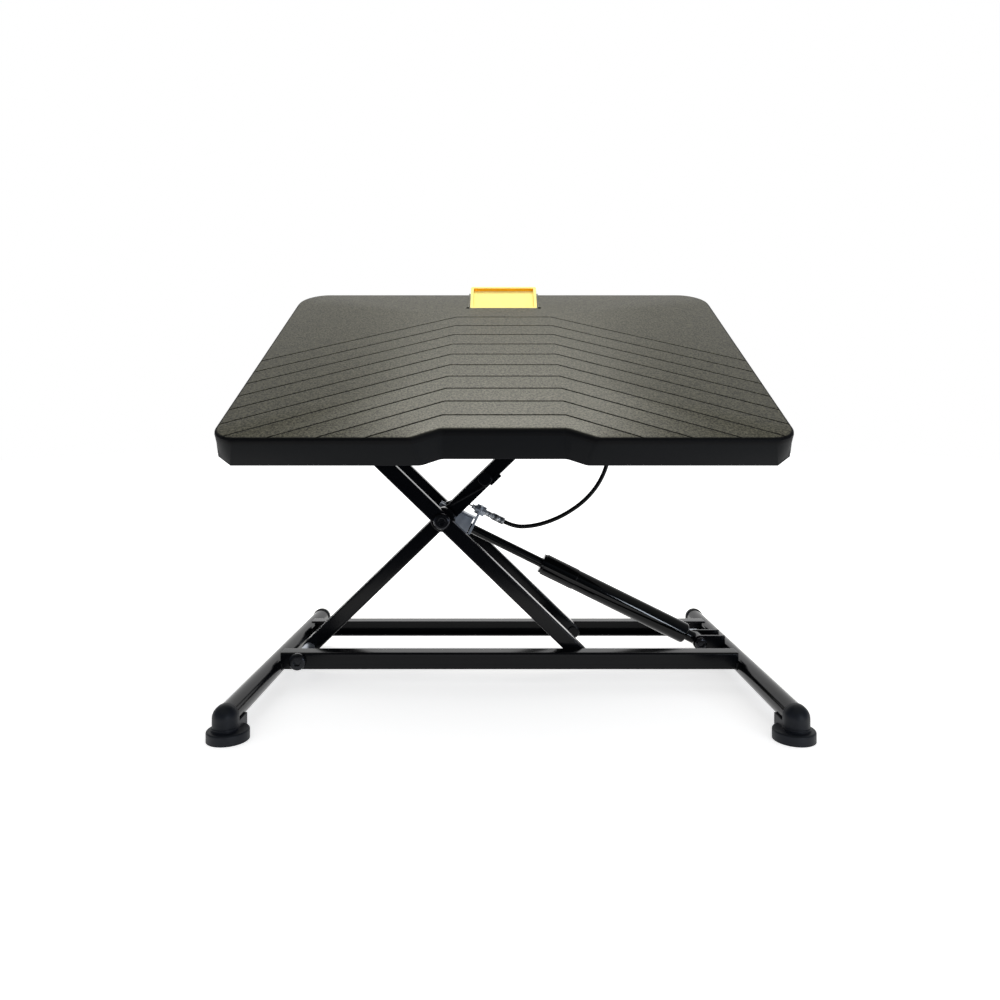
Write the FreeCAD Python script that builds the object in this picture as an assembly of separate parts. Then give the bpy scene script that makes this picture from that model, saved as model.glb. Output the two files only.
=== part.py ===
import FreeCAD, Part
import math
import os

# Height-adjustable footrest, lengths in millimetres, angles in degrees.
# X runs to the right, Y away from the person who uses it, Z up.
# The origin is on the floor, in the middle of the rectangle that the four feet span.
# It is modelled raised, with the tread tilted towards the person and the pedal up.

os.makedirs("parts", exist_ok=True)
V = FreeCAD.Vector

# Side tubes and rubber feet
tube_spacing = 464.0
tube_d = 19.0
tube_wall = 1.5
pad_spacing = 335.0
pad_d = 34.2
pad_inset = 2.1
pad_height = 8.3
pad_edge_radius = 1.4
cap_wall = 1.0
cap_hood_length = 3.0
cap_collar_reach = 0.7
cap_collar_height = 2.4
cap_collar_radius = 0.6
cap_trough_length = 22.0
cap_trough_height = 5.6
tube_seat = 0.1
fit = 0.05

# Cross beams of the base and rails of the top frame, all the same channel
channel_depth = 16.0
channel_height = 16.5
channel_wall = 2.0
channel_edge_radius = 1.8
beam_bottom = 16.5
front_beam_y = -40.0
rear_beam_y = 84.0
beam_end_inset = 8.0
cope_gap = 0.1
weld_radius = 2.2
rail_left_x = -222.0
rail_right_x = 205.0

# Scissor legs
pivot_x = -207.0
leg_pitch = 388.0
leg_angle = 44.0
leg_width = 15.0
leg_thick = 12.0
leg_edge_radius = 1.3
leg_beam_gap = 2.0
leg_bush_length = 15.0
leg_bush_d = 25.0
bush_gap = 0.2
head_gap = 26.0
pivot_d = 8.0
cross_bolt_d = 10.0
spacer_d = 12.0
sleeve_d = 16.0
cross_tube_d = 18.0
side_gap = 0.3

# Bolt heads and nuts
pivot_head_d = 16.5
eye_head_d = 12.5
bolt_head_height = 4.4
bolt_socket_d = 6.6
bolt_socket_depth = 2.4
nut_across_flats = 13.0
nut_height = 6.5

# Rollers
roller_gap = 0.35
roller_width = 11.0
axle_d = 7.0
axle_shoulder_d = 10.0
axle_washer_d = 9.8
axle_washer_thick = 1.0
axle_head_d = 12.0
axle_head_thick = 2.0
lip_clearance = 1.2

# Gusset plate riveted to the front inner leg
gusset_thick = 2.0
gusset_boss_d = 14.4
gusset_boss_height = 1.6
gusset_reach = 59.0
gusset_overhang = 0.6
gusset_lip = 2.4
gusset_heel_s = 8.0
gusset_heel_rise = 1.2
gusset_bead_width = 2.6
gusset_bead_height = 0.8

# Gas spring, from the crossing of the legs down to its eye by the right tube
eye_from_tube = 30.5
eye_height = 27.0
tab_gap = 20.0
tab_thick = 3.0
tab_radius = 7.6
eye_d = 14.0
eye_side_gap = 0.6
cylinder_d = 21.6
cylinder_wall = 1.5
cylinder_end_wall = 5.0
cylinder_from_eye = 15.0
cylinder_length = 131.0
cylinder_edge_radius = 2.0
neck_d = 12.0
sleeve_length = 40.0
gas_sleeve_d = 22.6
sleeve_lip_d = 20.6
sleeve_lip_length = 3.0
rod_d = 10.0
rod_hidden_length = 76.0
rod_end = 2.0
piston_length = 9.0
piston_gap = 0.08
release_pin_d = 5.0
release_pin_stand = 3.0
release_pin_depth = 12.0
release_pin_room = 2.0

# Release head on the rod end
release_head_length = 28.0
release_head_height = 22.8
release_head_width = 20.0
head_cheek_length = 11.0
head_cheek_thick = 4.0
head_edge_radius = 1.2
eye_pin_d = 10.0
eye_pin_gap = 0.3
ear_gap = 1.5
ear_thick = 2.4
ear_foot_start = 6.0
ear_width = 16.0
cable_offset = 21.8
adjuster_d = 6.0
adjuster_tip_d = 4.6
adjuster_tip_length = 3.5
adjuster_end = 44.5
adjuster_bore_d = 2.4
jam_nut_across_flats = 10.0
jam_nut_height = 4.2
ferrule_d = 7.6
ferrule_length = 14.0
ferrule_seat_depth = 2.0
lever_pivot_s = -1.5
lever_pivot_h = -8.6
lever_knee_s = -3.5
lever_elbow_s = -2.8
lever_elbow_h = 12.5
lever_thick = 6.0
lever_width = 5.6
lever_pin_d = 4.0
lever_wire_s = 5.0
lever_tip_d = 9.0
wire_d = 1.5
wire_room = 1.2
nipple_d = 4.0

# Cable
cable_d = 4.6
cable_lead = 11.5
cable_straight = 16.0
cable_corner_share = 0.45

# Tread, measured flat: u across, v back from its front edge, w up from its top
tread_x = -5.5
tread_width = 483.0
tread_depth = 352.0
tread_height = 26.0
tread_plate = 4.0
tread_skirt = 3.2
tread_taper = 0.4
rear_corner_radius = 33.0
front_corner_radius = 21.0
front_corner_facet = 15.0
tread_round_steps = 3
tread_edge_round = 4.0
middle_width = 105.0
recess_depth = 15.4
recess_depth_below = 10.5
recess_corner_radius = 9.0
chevron_slope = 0.65
groove_pitch = 26.0
groove_count = 10
groove_width = 1.9
groove_depth = 1.1
notch_width = 82.6
notch_depth = 47.6
notch_relief_d = 4.4
rib_thick = 2.6
rib_depth = 6.0
rib_long_shares = (-0.83, -0.38, 0.38, 0.83)
rib_cross_shares = (0.2, 0.62)

# Tilt hinge of the tread on the front rail
tilt_angle = 29.1
hinge_setback = 151.0
hinge_drop = 11.3
hinge_rise = 5.0
hinge_pin_d = 6.0
hinge_knuckle_d = 9.4
hinge_ear_d = 11.0
hinge_ear_thick = 2.5
hinge_leaf_width = 40.0
hinge_leaf_thick = 2.0
hinge_leaf_front = 12.0
hinge_leaf_back = 24.0
hinge_x_shares = (-0.6, 0.55)
hinge_washer_thick = 1.2
hinge_rivet_d = 10.0
hinge_rivet_thick = 1.6
screw_head_d = 8.0
screw_head_height = 2.2
screw_d = 4.0
screw_bite = 3.0

# Straps that tie the two top rails
strap_width = 30.0
strap_thick = 3.0
strap_left_inset = 28.0
strap_right_x = 118.0

# Cable clip on the right strap
clip_x = 113.0
clip_y = 32.0
clip_bore_d = 5.4
clip_wall = 1.4
clip_height = 7.0
clip_tongue_thick = 1.2
clip_tongue_length = 16.0
clip_plug_d = 4.0

# Pedal
pedal_width = 77.6
pedal_length = 46.6
pedal_thick = 6.5
pedal_rim = 3.4
pedal_recess = 3.75
pedal_corner_radius = 2.6
pedal_front_gap = 2.2
pedal_raise = 13.0
pedal_pin_setback = 4.2
pedal_pin_drop = 8.0
pedal_pin_d = 4.0
pedal_pin_head_d = 4.8
pedal_boss_d = 8.0
pedal_rib_thick = 2.0
pedal_rib_depth = 3.0
plate_thick = 1.5
plate_depth = 20.0
plate_flange = 15.0
plate_proud = 0.8
plate_reach = 5.5

# Bell crank that turns the pedal's push into a pull on the cable
crank_setback = 13.4
crank_nose_setback = 33.4
crank_elbow_setback = 14.0
crank_elbow_rise = 1.5
crank_pivot_drop = 21.5
crank_thick = 3.0
crank_u = 8.0
crank_width = 5.6
crank_pin_d = 4.0
crank_nose_gap = 0.5
crank_head_d = 7.0
crank_head_width = 5.0
crank_hole_d = 3.4
crank_swing = 22.5
wire_button_d = 4.4
wire_button_length = 4.0
bracket_thick = 2.0
bracket_width = 24.0
bracket_setback = 40.0
bracket_ear_gap = 5.6
bracket_ear_d = 8.4
bracket_root = 12.0
cable_drop = 13.0

# One overrun for every cut that has to pass a face
over = 1.0

# Places worked out from the sizes above
tube_x = tube_spacing / 2
tube_r = tube_d / 2
tube_z = pad_height + tube_seat + tube_r
pad_y = pad_spacing / 2
tube_end = pad_y
beam_x = tube_x - beam_end_inset
pivot_z = beam_bottom + channel_height / 2
cos_leg = math.cos(math.radians(leg_angle))
sin_leg = math.sin(math.radians(leg_angle))
roller_x = pivot_x + leg_pitch * cos_leg
rail_rise = leg_pitch * sin_leg
rail_bottom = beam_bottom + rail_rise
top_pivot_z = pivot_z + rail_rise
cross_x = pivot_x + leg_pitch / 2 * cos_leg
cross_z = pivot_z + leg_pitch / 2 * sin_leg
middle_y = (front_beam_y + rear_beam_y + channel_depth) / 2
outer_y = front_beam_y + channel_depth + leg_beam_gap
inner_y = outer_y + leg_thick + leg_bush_length
head_y = inner_y + leg_thick
roller_d = channel_height - 2 * channel_wall - 2 * roller_gap
eye_x = tube_x - eye_from_tube
gas_length = math.hypot(eye_x - cross_x, cross_z - eye_height)
gas_angle = math.degrees(math.atan2(cross_z - eye_height, eye_x - cross_x))
hinge_y = front_beam_y + channel_depth / 2
hinge_z = rail_bottom + channel_height + hinge_rise
tread_front_y = hinge_y - hinge_setback
tread_top_z = hinge_z + hinge_drop

made = []


def keep(name, shape):
    """Write one sub-part's file and print what it holds."""
    shape.exportStep("parts/" + name + ".step")
    made.append(name)
    box_of = shape.BoundBox
    print(name, "solids", len(shape.Solids), "valid", shape.isValid(), "volume", round(shape.Volume),
          "X", round(box_of.XMin, 2), round(box_of.XMax, 2), "Y", round(box_of.YMin, 2),
          round(box_of.YMax, 2), "Z", round(box_of.ZMin, 2), round(box_of.ZMax, 2))


def block(x0, x1, y0, y1, z0, z1):
    return Part.makeBox(x1 - x0, y1 - y0, z1 - z0, V(x0, y0, z0))


def round_x(diameter, y, z, x0, x1):
    return Part.makeCylinder(diameter / 2, x1 - x0, V(x0, y, z), V(1, 0, 0))


def round_y(diameter, x, z, y0, y1):
    return Part.makeCylinder(diameter / 2, y1 - y0, V(x, y0, z), V(0, 1, 0))


def round_z(diameter, x, y, z0, z1):
    return Part.makeCylinder(diameter / 2, z1 - z0, V(x, y, z0), V(0, 0, 1))


def join(shapes):
    whole = shapes[0]
    for shape in shapes[1:]:
        whole = whole.fuse(shape)
    return whole.removeSplitter()


def prism_y(points, y0, y1):
    """Flat outline of (x, z) points, drawn out along Y."""
    corners = [V(x, y0, z) for x, z in points]
    wire = Part.makePolygon(corners + corners[:1])
    return Part.Face(wire).extrude(V(0, y1 - y0, 0))


def in_plane(edge, axis, place, slack=fit):
    """True where an edge lies in the plane that a row axis and a place give."""
    low = getattr(edge.BoundBox, axis + "Min")
    high = getattr(edge.BoundBox, axis + "Max")
    return abs(low - place) < slack and abs(high - place) < slack


def soften(shape, radius, planes):
    """Round the edges that lie in any of the planes given as (axis, place)."""
    edges = [edge for edge in shape.Edges if any(in_plane(edge, axis, place) for axis, place in planes)]
    return shape.makeFillet(radius, edges)


def socket_bolt(diameter, head_d, x, z, head_face_y, length, forward):
    """Button-head bolt along Y. Its head's underside is at head_face_y and forward is -1 or 1,
    the way in which the head stands out."""
    outer = head_face_y + forward * bolt_head_height
    head = round_y(head_d, x, z, min(head_face_y, outer), max(head_face_y, outer))
    head = soften(head, bolt_head_height / 2, [("Y", outer)])
    floor = outer - forward * bolt_socket_depth
    mouth = outer + forward * over
    head = head.cut(hexagon_y(bolt_socket_d, x, z, min(floor, mouth), max(floor, mouth)))
    tip = head_face_y - forward * length
    return join([head, round_y(diameter, x, z, min(head_face_y, tip), max(head_face_y, tip))])


def hexagon_y(across_flats, x, z, y0, y1):
    radius = across_flats / 2 / math.cos(math.pi / 6)
    points = [(x + radius * math.cos(k * math.pi / 3), z + radius * math.sin(k * math.pi / 3))
              for k in range(6)]
    return prism_y(points, y0, y1)


def hex_nut_y(across_flats, bore_d, x, z, y0, y1):
    return hexagon_y(across_flats, x, z, y0, y1).cut(round_y(bore_d, x, z, y0 - over, y1 + over))


def ring_y(outer_d, bore_d, x, z, y0, y1):
    return round_y(outer_d, x, z, y0, y1).cut(round_y(bore_d, x, z, y0 - over, y1 + over))


def both_ends(shape):
    """A piece at the front of the base, and the same mirrored to its rear."""
    return shape.copy(), shape.mirror(V(0, 0, 0), V(0, 1, 0))


def across_middle(shape):
    """Mirror a piece of the scissor from the front to the rear of its middle plane."""
    return shape.mirror(V(0, middle_y, 0), V(0, 1, 0))


# Side tubes: round steel tube, one along each side of the base
for side, name in ((-1, "side_tube_left"), (1, "side_tube_right")):
    tube = round_y(tube_d, side * tube_x, tube_z, -tube_end, tube_end)
    tube = tube.cut(round_y(tube_d - 2 * tube_wall, side * tube_x, tube_z, -tube_end - over, tube_end + over))
    keep(name, tube)


# Feet: one rubber moulding over each tube end. A dome closes the tube and a low trough carries it
# from below. Both stand on a round pad, which sits a little towards the middle of the base.
def foot_cap(side):
    x = side * tube_x
    cap_d = tube_d + 2 * cap_wall
    hood_back = -pad_y + cap_hood_length
    back = -pad_y + cap_trough_length
    collar_top = pad_height + cap_collar_height
    dome = join([Part.makeSphere(cap_d / 2, V(x, -pad_y, tube_z)),
                 round_z(cap_d, x, -pad_y, pad_height / 2, tube_z),
                 round_y(cap_d, x, tube_z, -pad_y, hood_back),
                 block(x - cap_d / 2, x + cap_d / 2, -pad_y, hood_back, pad_height / 2, tube_z)])
    collar = round_z(cap_d + 2 * cap_collar_reach, x, -pad_y, pad_height / 2, collar_top)
    collar = soften(collar, cap_collar_radius, [("Z", collar_top)])
    trough = block(x - cap_d / 2, x + cap_d / 2, -pad_y, back, pad_height / 2, pad_height + cap_trough_height)
    pad = round_z(pad_d, x - side * pad_inset, -pad_y, 0, pad_height)
    pad = soften(pad, pad_edge_radius, [("Z", pad_height)])
    bore = round_y(tube_d + 2 * fit, x, tube_z, -tube_end, back + pad_d)
    return join([dome, collar, trough, pad]).cut(bore).removeSplitter()


for side, hand in ((-1, "left"), (1, "right")):
    front_cap, rear_cap = both_ends(foot_cap(side))
    keep("foot_cap_front_" + hand, front_cap)
    keep("foot_cap_rear_" + hand, rear_cap)


# Channels: folded steel, open towards the middle, so that the rollers run inside
def channel(x0, x1, y0, z0, opens):
    y1 = y0 + channel_depth
    web = y0 if opens > 0 else y1
    body = block(x0, x1, y0, y1, z0, z0 + channel_height)
    edges = [edge for edge in body.Edges if in_plane(edge, "Y", web)
             and edge.BoundBox.XLength > channel_depth]
    body = body.makeFillet(channel_edge_radius, edges)
    inner_y0 = y0 + channel_wall if opens > 0 else y0 - over
    inner_y1 = y1 + over if opens > 0 else y1 - channel_wall
    return body.cut(block(x0 - over, x1 + over, inner_y0, inner_y1, z0 + channel_wall,
                          z0 + channel_height - channel_wall))


def cope(shape):
    """Cut a channel's ends to the round of the side tubes."""
    for side in (-1, 1):
        shape = shape.cut(round_y(tube_d + 2 * cope_gap, side * tube_x, tube_z, -tube_end, tube_end))
    return shape


def through_webs(shape, x, z):
    """Drill a channel's web for a pivot bolt."""
    return shape.cut(round_y(pivot_d + 2 * fit, x, z, -tube_end, tube_end))


front_beam = through_webs(cope(channel(-beam_x, beam_x, front_beam_y, beam_bottom, 1)), pivot_x, pivot_z)
rear_beam = through_webs(cope(channel(-beam_x, beam_x, rear_beam_y, beam_bottom, -1)), pivot_x, pivot_z)
keep("base_beam_front", front_beam)
keep("base_beam_rear", rear_beam)
keep("top_rail_front", through_webs(channel(rail_left_x, rail_right_x, front_beam_y, rail_bottom, 1),
                                    pivot_x, top_pivot_z))
keep("top_rail_rear", through_webs(channel(rail_left_x, rail_right_x, rear_beam_y, rail_bottom, -1),
                                   pivot_x, top_pivot_z))


# Weld beads: one up each beam's outer face and one over its end, where it meets the tube
def beam_weld(side, web_y, beam):
    x = side * beam_x
    meet_z = tube_z + math.sqrt(tube_r ** 2 - beam_end_inset ** 2)
    lying = round_y(2 * weld_radius, x, meet_z, web_y, web_y + channel_depth)
    tube = round_y(tube_d, side * tube_x, tube_z, -tube_end, tube_end)
    return lying.cut(tube).cut(beam)


def upright_weld(side, face_y, beam):
    x = side * beam_x
    meet_z = tube_z + math.sqrt(tube_r ** 2 - beam_end_inset ** 2)
    upright = round_z(2 * weld_radius, x, face_y, beam_bottom, meet_z)
    tube = round_y(tube_d, side * tube_x, tube_z, -tube_end, tube_end)
    return upright.cut(tube).cut(beam)


beads = []
for side in (-1, 1):
    for web_y, face_y, beam in ((front_beam_y, front_beam_y, front_beam),
                                (rear_beam_y, rear_beam_y + channel_depth, rear_beam)):
        whole = beam_weld(side, web_y, beam).fuse(upright_weld(side, face_y, beam))
        beads.append(max(whole.removeSplitter().Solids, key=lambda solid: solid.Volume))
keep("weld_beads", Part.makeCompound(beads))

# Gas spring tabs: two steel straps welded to the right tube
tab_front_y = middle_y - tab_gap / 2 - tab_thick
tube_solid = round_y(tube_d + 2 * fit, tube_x, tube_z, -tube_end, tube_end)
tabs = []
for tab_y in (tab_front_y, middle_y + tab_gap / 2):
    strap = join([round_y(2 * tab_radius, eye_x, eye_height, tab_y, tab_y + tab_thick),
                  block(eye_x, tube_x, tab_y, tab_y + tab_thick, eye_height - tab_radius,
                        eye_height + tab_radius)])
    strap = strap.cut(tube_solid).cut(block(tube_x - tube_r / 2, tube_x + tube_r, tab_y - over,
                                            tab_y + tab_thick + over, 0, eye_height + 2 * tab_radius))
    strap = max(strap.Solids, key=lambda solid: solid.Volume)
    tabs.append(strap.cut(round_y(pivot_d + 2 * fit, eye_x, eye_height, tab_y - over,
                                  tab_y + tab_thick + over)))
keep("gas_spring_tabs", Part.makeCompound(tabs))
tab_rear_face = middle_y + tab_gap / 2 + tab_thick
keep("eye_bolt", socket_bolt(pivot_d, eye_head_d, eye_x, eye_height, tab_front_y,
                             tab_rear_face - tab_front_y + nut_height, -1))
eye_nut = hex_nut_y(nut_across_flats, pivot_d + 2 * fit, eye_x, eye_height, tab_rear_face,
                    tab_rear_face + nut_height)


# Pivot bolts: each runs through both channels, its spacers and the pair of legs
channels_back = rear_beam_y + channel_depth


def pivot_bolt(z):
    return socket_bolt(pivot_d, pivot_head_d, pivot_x, z, front_beam_y,
                       channels_back - front_beam_y + nut_height, -1)


def pivot_nut(z):
    return hex_nut_y(nut_across_flats, pivot_d + 2 * fit, pivot_x, z, channels_back,
                     channels_back + nut_height)


def pivot_spacers(z, leg_face_y):
    front = ring_y(spacer_d, pivot_d + 2 * fit, pivot_x, z, front_beam_y + channel_wall,
                   leg_face_y - side_gap)
    return Part.makeCompound([front, across_middle(front)])


keep("lower_pivot_bolt", pivot_bolt(pivot_z))
keep("base_lock_nuts", Part.makeCompound([pivot_nut(pivot_z), eye_nut]))
keep("lower_pivot_spacers", pivot_spacers(pivot_z, inner_y))
keep("upper_pivot_bolt", pivot_bolt(top_pivot_z))
keep("upper_pivot_nut", pivot_nut(top_pivot_z))
keep("upper_pivot_spacers", pivot_spacers(top_pivot_z, outer_y))


# Legs: flat steel bars with round ends. Holes are (distance along, diameter)
def leg(start_z, rises, y0, holes):
    radius = leg_width / 2
    bar = join([block(0, leg_pitch, y0, y0 + leg_thick, -radius, radius),
                round_y(leg_width, 0, 0, y0, y0 + leg_thick),
                round_y(leg_width, leg_pitch, 0, y0, y0 + leg_thick)])
    bar = soften(bar, leg_edge_radius, [("Y", y0), ("Y", y0 + leg_thick)])
    for distance, diameter in holes:
        bar = bar.cut(round_y(diameter, distance, 0, y0 - over, y0 + leg_thick + over))
    bar.rotate(V(0, 0, 0), V(0, 1, 0), -rises * leg_angle)
    bar.translate(V(pivot_x, 0, start_z))
    return bar


inner_leg = leg(pivot_z, 1, inner_y, ((0, pivot_d + 2 * fit), (leg_pitch / 2, cross_bolt_d + 2 * fit),
                                      (leg_pitch, axle_d + 2 * fit)))
outer_leg = leg(top_pivot_z, -1, outer_y, ((0, pivot_d + 2 * fit), (leg_pitch / 2, cross_bolt_d + 2 * fit),
                                           (leg_pitch, axle_d + 2 * fit)))
keep("inner_leg_front", inner_leg)
keep("inner_leg_rear", across_middle(inner_leg))
keep("outer_leg_front", outer_leg)
keep("outer_leg_rear", across_middle(outer_leg))
keep("inner_leg_sleeve", ring_y(sleeve_d, pivot_d + 2 * fit, pivot_x, pivot_z, head_y,
                                head_y + head_gap))
keep("outer_leg_cross_tube", ring_y(cross_tube_d, pivot_d + 2 * fit, pivot_x, top_pivot_z,
                                    outer_y + leg_thick, 2 * middle_y - outer_y - leg_thick))

# Crossing: a bush welded to each inner leg, and a bolt on which the outer leg turns
cross_bush = ring_y(leg_bush_d, cross_bolt_d + 2 * fit, cross_x, cross_z,
                    outer_y + leg_thick + bush_gap, inner_y)
cross_bush = soften(cross_bush, leg_edge_radius / 2, [("Y", outer_y + leg_thick + bush_gap)])
keep("crossing_bushes", Part.makeCompound([cross_bush, across_middle(cross_bush)]))
cross_bolt = socket_bolt(cross_bolt_d, pivot_head_d, cross_x, cross_z, outer_y - bush_gap,
                         head_y - outer_y + bush_gap, -1)
keep("crossing_bolts", Part.makeCompound([cross_bolt, across_middle(cross_bolt)]))


# Gusset: thin plate on the front inner leg, from the crossing up to a riveted boss
def gusset():
    half = leg_width / 2
    plate_front = inner_y - gusset_thick
    heel = (gusset_heel_s, half + gusset_heel_rise)
    toe = (gusset_reach, -half + gusset_bead_width)
    end = gusset_reach + gusset_boss_d
    plate = prism_y([(0, -half - gusset_overhang), (end, -half - gusset_overhang), (end, -half / 2),
                     toe, heel, (0, heel[1])], plate_front, inner_y)
    bead = prism_y([heel, toe, (toe[0], toe[1] - gusset_bead_width), (heel[0], heel[1] - gusset_bead_width)],
                   plate_front - gusset_bead_height, inner_y)
    lip = block(gusset_reach, end, plate_front, inner_y + leg_thick / 2, -half - gusset_lip, -half)
    boss = round_y(gusset_boss_d, gusset_reach, 0, plate_front - gusset_boss_height, inner_y)
    whole = join([plate, bead, lip, boss])
    whole = soften(whole, gusset_boss_height / 3, [("Y", plate_front - gusset_boss_height)])
    whole = whole.cut(round_y(leg_bush_d + 2 * side_gap, 0, 0, plate_front - gusset_boss_height - over,
                              inner_y + over))
    whole.rotate(V(0, 0, 0), V(0, 1, 0), -leg_angle)
    whole.translate(V(cross_x, 0, cross_z))
    return whole


keep("gusset_plate", gusset())


# Rollers and their axles: the lower ones sit on the outer legs, the upper ones on the inner legs
roller_y = front_beam_y + channel_depth - lip_clearance
roller_end = roller_y - roller_width


def roller(z):
    wheel = ring_y(roller_d, axle_d + 2 * fit, roller_x, z, roller_end, roller_y)
    return soften(wheel, lip_clearance / 2, [("Y", roller_end), ("Y", roller_y)])


def lower_axle():
    washer = round_y(axle_washer_d, roller_x, pivot_z, roller_end - side_gap - axle_washer_thick,
                     roller_end - side_gap)
    pin = round_y(axle_d, roller_x, pivot_z, roller_end - side_gap, outer_y + leg_thick)
    head = round_y(axle_head_d, roller_x, pivot_z, outer_y + leg_thick, outer_y + leg_thick + axle_head_thick)
    return join([washer, pin, head])


def upper_axle():
    washer = round_y(axle_washer_d, roller_x, top_pivot_z, roller_end - side_gap - axle_washer_thick,
                     roller_end - side_gap)
    pin = round_y(axle_d, roller_x, top_pivot_z, roller_end - side_gap, head_y)
    shoulder = round_y(axle_shoulder_d, roller_x, top_pivot_z, roller_y + side_gap, inner_y)
    return join([washer, pin, shoulder])


keep("lower_rollers", Part.makeCompound([roller(pivot_z), across_middle(roller(pivot_z))]))
keep("upper_rollers", Part.makeCompound([roller(top_pivot_z), across_middle(roller(top_pivot_z))]))
keep("lower_roller_axles", Part.makeCompound([lower_axle(), across_middle(lower_axle())]))
keep("upper_roller_axles", Part.makeCompound([upper_axle(), across_middle(upper_axle())]))


# Gas spring pieces are drawn along X from the crossing and then laid down to the eye
def along_gas(shape):
    shape.rotate(V(0, 0, 0), V(0, 1, 0), gas_angle)
    shape.translate(V(cross_x, middle_y, cross_z))
    return shape


cylinder_back = gas_length - cylinder_from_eye
cylinder_front = cylinder_back - cylinder_length
sleeve_front = cylinder_front - sleeve_length

barrel = round_x(cylinder_d, 0, 0, cylinder_front, cylinder_back)
barrel = soften(barrel, cylinder_edge_radius, [("X", cylinder_back)])
bore_d = cylinder_d - 2 * cylinder_wall
barrel = barrel.cut(round_x(bore_d, 0, 0, cylinder_front - over, cylinder_back - cylinder_end_wall))
keep("gas_cylinder", along_gas(barrel))

end_sleeve = join([round_x(gas_sleeve_d, 0, 0, sleeve_front + sleeve_lip_length, cylinder_front),
                   round_x(sleeve_lip_d, 0, 0, sleeve_front, sleeve_front + sleeve_lip_length)])
end_sleeve = end_sleeve.cut(round_x(rod_d + 2 * fit, 0, 0, sleeve_front - over, cylinder_front + over))
keep("gas_cylinder_end_sleeve", along_gas(end_sleeve))

eye_half = tab_gap / 2 - eye_side_gap
lower_eye = join([round_x(neck_d, 0, 0, cylinder_back, gas_length - pivot_d / 2 - over),
                  round_y(eye_d, gas_length, 0, -eye_half, eye_half)])
lower_eye = lower_eye.cut(round_y(pivot_d + 2 * fit, gas_length, 0, -eye_half - over, eye_half + over))
keep("gas_spring_lower_eye", along_gas(lower_eye))

# The piston is formed on the rod's hidden end
rod_back = sleeve_front + rod_hidden_length
rod = join([round_x(rod_d, 0, 0, rod_end, rod_back),
            round_x(bore_d - 2 * piston_gap, 0, 0, rod_back, rod_back + piston_length)])
rod = rod.cut(round_x(release_pin_d + 2 * fit, 0, 0, rod_end - over,
                      rod_end + release_pin_depth + release_pin_room))
keep("gas_spring_rod", along_gas(rod))
keep("release_pin", along_gas(round_x(release_pin_d, 0, 0, rod_end - release_pin_stand,
                                      rod_end + release_pin_depth)))


# Release head: die-cast block on the rod end, with two cheeks, eye pins and a slot for the lever
def release_head():
    half_y = release_head_width / 2
    half_z = release_head_height / 2
    body = block(-head_cheek_length, release_head_length, -half_y, half_y, -half_z, half_z)
    edges = [edge for edge in body.Edges if edge.BoundBox.XLength > release_head_length]
    body = body.makeFillet(head_edge_radius, edges)
    slot_half = half_y - head_cheek_thick
    body = body.cut(block(-head_cheek_length - over, rod_end + over, -slot_half, slot_half,
                          -half_z - over, half_z + over))
    body = body.cut(round_x(rod_d + 2 * fit, 0, 0, rod_end, release_head_length + over))
    pin_half = head_gap / 2 - eye_pin_gap
    for y0, y1 in ((-pin_half, -half_y), (half_y, pin_half)):
        body = body.fuse(round_y(eye_pin_d, 0, 0, y0, y1))
    return body.cut(round_y(lever_pin_d + 2 * fit, lever_pivot_s, lever_pivot_h, -half_y - over,
                            half_y + over)).removeSplitter()


keep("release_head", along_gas(release_head()))


def strip(points, width, y0, y1):
    """Flat strip with round ends and corners through (x, z) points, with a thickness along Y."""
    pieces = [round_y(width, x, z, y0, y1) for x, z in points]
    for (xa, za), (xb, zb) in zip(points, points[1:]):
        length = math.hypot(xb - xa, zb - za)
        bar = block(0, length, y0, y1, -width / 2, width / 2)
        bar.rotate(V(0, 0, 0), V(0, 1, 0), -math.degrees(math.atan2(zb - za, xb - xa)))
        bar.translate(V(xa, 0, za))
        pieces.append(bar)
    return join(pieces)


# Release lever: flat bar with its own pivot pin, notched where it meets the release pin,
# and with a hook at its tip, open at the top, for the wire's barrel nipple
wire_way = wire_d + wire_room
release_lever = strip([(lever_pivot_s, lever_pivot_h), (lever_knee_s, 0), (lever_elbow_s, lever_elbow_h),
                       (lever_wire_s, cable_offset)], lever_width, -lever_thick / 2, lever_thick / 2)
release_lever = release_lever.cut(round_x(rod_d + lever_pin_d / 2, 0, 0,
                                          rod_end - release_pin_stand - side_gap, rod_end + over))
release_lever = join([release_lever, round_y(lever_tip_d, lever_wire_s, cable_offset, -lever_thick / 2,
                                             lever_thick / 2)])
nipple_seat_d = nipple_d + 4 * fit
hook_top = cable_offset + lever_tip_d
release_lever = release_lever.cut(round_y(nipple_seat_d, lever_wire_s, cable_offset, -lever_thick / 2 - over,
                                          lever_thick / 2 + over))
nipple_seat = block(lever_wire_s - nipple_seat_d / 2, lever_wire_s + nipple_seat_d / 2,
                    -lever_thick / 2 - over, lever_thick / 2 + over, cable_offset, hook_top)
release_lever = release_lever.cut(nipple_seat)
release_lever = release_lever.cut(block(lever_wire_s, lever_wire_s + lever_tip_d, -wire_way / 2, wire_way / 2,
                                        cable_offset - wire_way / 2, hook_top))
release_lever = release_lever.fuse(round_y(lever_pin_d, lever_pivot_s, lever_pivot_h,
                                           -release_head_width / 2, release_head_width / 2))
keep("release_lever", along_gas(release_lever.removeSplitter()))

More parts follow.
